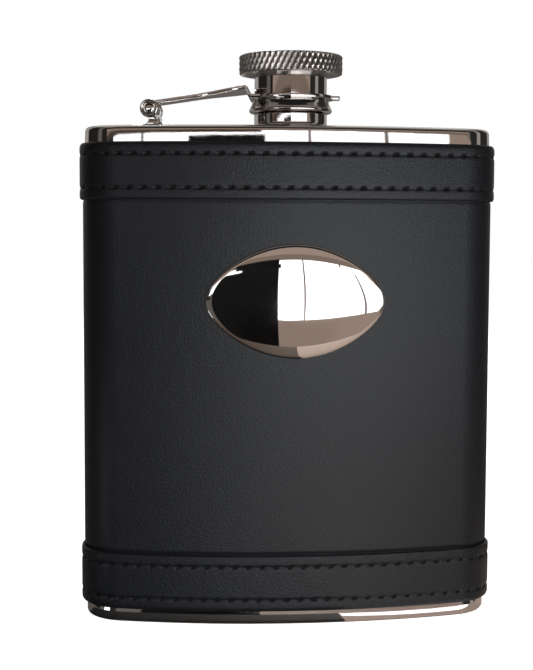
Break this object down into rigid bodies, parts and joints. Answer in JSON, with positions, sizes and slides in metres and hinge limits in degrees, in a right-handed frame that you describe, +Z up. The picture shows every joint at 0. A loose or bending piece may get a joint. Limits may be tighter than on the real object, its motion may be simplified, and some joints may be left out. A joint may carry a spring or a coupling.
{
  "type": "hip flask",
  "caption": "Curved stainless hip flask with a knurled screw cap on a hinged captive arm, a leather wrap with stitched bands and a domed oval plate.",
  "frame": {"origin": "centre of the bounding box in plan, at the base's resting face", "axes": "+Z up along the neck, X across the width, the curved front with the oval plate faces -Y, the hinge is on the -X side"},
  "size_m": [0.0948, 0.0304, 0.1268],
  "materials": {
    "polished_steel": "mirror-polished stainless steel with faint drawing marks",
    "knurled_steel": "diamond-knurled stainless steel, satin",
    "mirror_plate": "mirror-polished stamped plate",
    "black_leather": "matt black fine-grain bonded leather",
    "black_thread": "twisted polyester sewing thread",
    "silicone": "translucent white silicone",
    "adhesive_foam": "white foam adhesive"
  },
  "bodies": {
    "flask": {"body_shell": "polished_steel", "top_plate": "polished_steel", "base_plate": "polished_steel", "neck": "polished_steel", "hinge_bracket": "polished_steel", "hinge_pin": "polished_steel", "leather_wrap": "black_leather", "upper_band": "black_leather", "lower_band": "black_leather", "upper_band_top_thread": "black_thread", "upper_band_low_thread": "black_thread", "lower_band_top_thread": "black_thread", "lower_band_low_thread": "black_thread", "badge_plate": "mirror_plate", "badge_adhesive": "adhesive_foam"},
    "arm": {"captive_arm": "polished_steel"},
    "cap": {"cap_sleeve": "polished_steel", "cap_head": "knurled_steel", "cap_collar": "polished_steel", "cap_seal": "silicone"}
  },
  "joints": [
    {"name": "arm_swing", "type": "hinge", "parent": "flask", "child": "arm", "pos_m": [-0.03113, 0.00203, 0.1149], "axis": [-0.1045, -0.9945, 0], "range_deg": [0, 170]},
    {"name": "cap_turn", "type": "hinge", "parent": "arm", "child": "cap", "pos_m": [0, -0.00124, 0.118], "axis": [0, 0, 1], "continuous": true}
  ]
}
